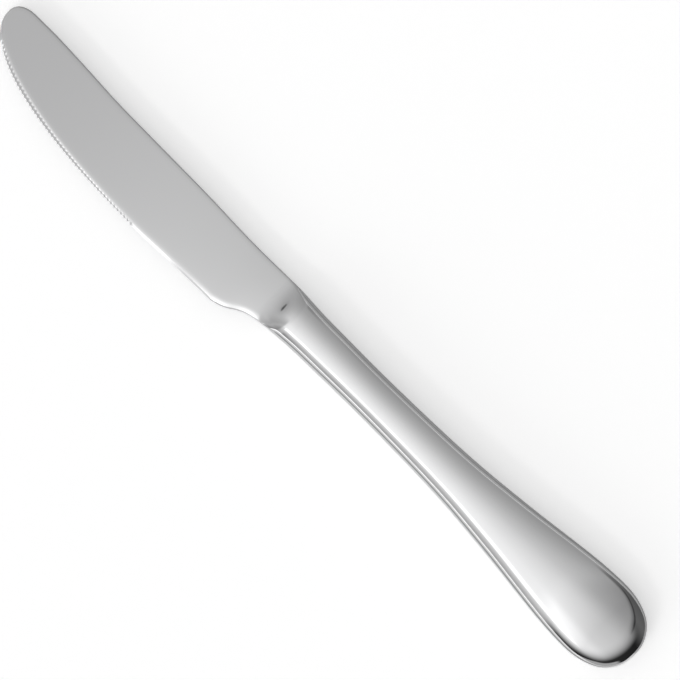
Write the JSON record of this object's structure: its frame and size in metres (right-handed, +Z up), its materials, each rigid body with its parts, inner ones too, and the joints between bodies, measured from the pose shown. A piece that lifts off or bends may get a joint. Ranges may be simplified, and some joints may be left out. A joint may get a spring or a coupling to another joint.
{
  "type": "table knife",
  "caption": "Polished steel table knife with a round-tipped blade, a partly serrated edge and a hollow handle that widens to a rounded butt.",
  "frame": {"origin": "centre of the bounding box in X and Y, at the underside on which the knife lies", "axes": "+X along the knife from the tip to the butt, -Y towards the cutting edge, +Z up out of the flank that the picture shows"},
  "size_m": [0.235, 0.0242, 0.01],
  "materials": {
    "blade_steel": "finely satin polished stainless steel",
    "handle_steel": "mirror polished stainless steel",
    "braze": "braze ground flush and mirror polished with the steel",
    "cement": "hard matte cutler's cement, hidden inside the handle"
  },
  "bodies": {
    "root": {"blade": "blade_steel", "mouth_braze": "braze", "handle_shell_front": "handle_steel", "handle_shell_back": "handle_steel", "seam_braze": "braze", "tang_cement": "cement"}
  },
  "joints": []
}
